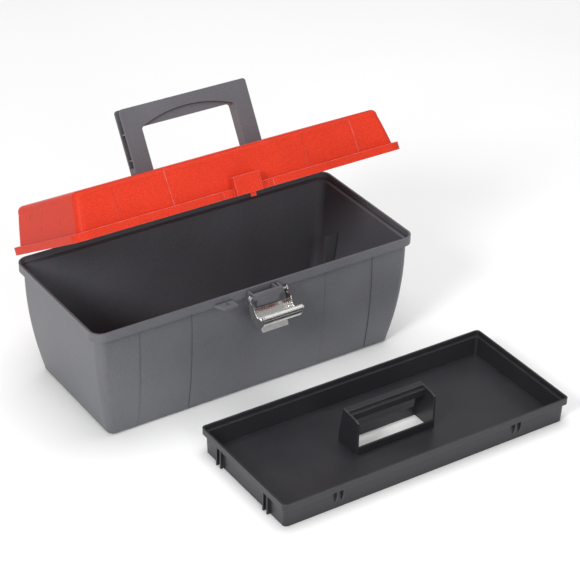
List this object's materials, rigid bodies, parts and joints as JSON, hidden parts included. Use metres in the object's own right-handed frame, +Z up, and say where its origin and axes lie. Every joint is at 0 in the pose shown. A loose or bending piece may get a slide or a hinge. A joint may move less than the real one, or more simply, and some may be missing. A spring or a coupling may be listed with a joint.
{
  "type": "toolbox with tray",
  "caption": "Moulded toolbox with a back-hinged lid, folding carry handle, snap latch and a lift-out tray with its own grip bar.",
  "frame": {"origin": "middle of the box's base, on the ground plane", "axes": "+Z up, +X to the right along the box, +Y to the back, where the lid's hinge is"},
  "size_m": [0.4635, 0.4282, 0.3013],
  "materials": {
    "grey_plastic": "fine grained moulded polypropylene",
    "red_plastic": "fine grained moulded polypropylene",
    "grey_handle_plastic": "smooth moulded polypropylene",
    "charcoal_plastic": "smooth moulded polypropylene",
    "plated_steel": "bright plated pressed sheet",
    "pin_steel": "drawn rod"
  },
  "bodies": {
    "box": {"box_body": "grey_plastic", "latch_pin": "pin_steel", "hinge_pin_left": "pin_steel", "hinge_pin_right": "pin_steel"},
    "lid": {"lid": "red_plastic", "handle_pin_left": "pin_steel", "handle_pin_right": "pin_steel"},
    "handle": {"carry_handle": "grey_handle_plastic"},
    "latch": {"latch_lever": "plated_steel", "latch_tab": "plated_steel"},
    "tray": {"tray": "charcoal_plastic"}
  },
  "joints": [
    {"name": "lid_hinge", "type": "hinge", "parent": "box", "child": "lid", "pos_m": [0, 0.0985, 0.137], "axis": [-1, 0, 0], "range_deg": [-31, 74]},
    {"name": "handle_hinge", "type": "hinge", "parent": "lid", "child": "handle", "pos_m": [0, 0.03879, 0.22887], "axis": [1, 0, 0], "range_deg": [0, 90]},
    {"name": "latch_hinge", "type": "hinge", "parent": "box", "child": "latch", "pos_m": [0, -0.104, 0.1365], "axis": [-1, 0, 0], "range_deg": [0, 127]},
    {"name": "tray_lift", "type": "slide", "parent": "box", "child": "tray", "axis": [0, 0, 1], "range_m": [0, 0.25]}
  ]
}
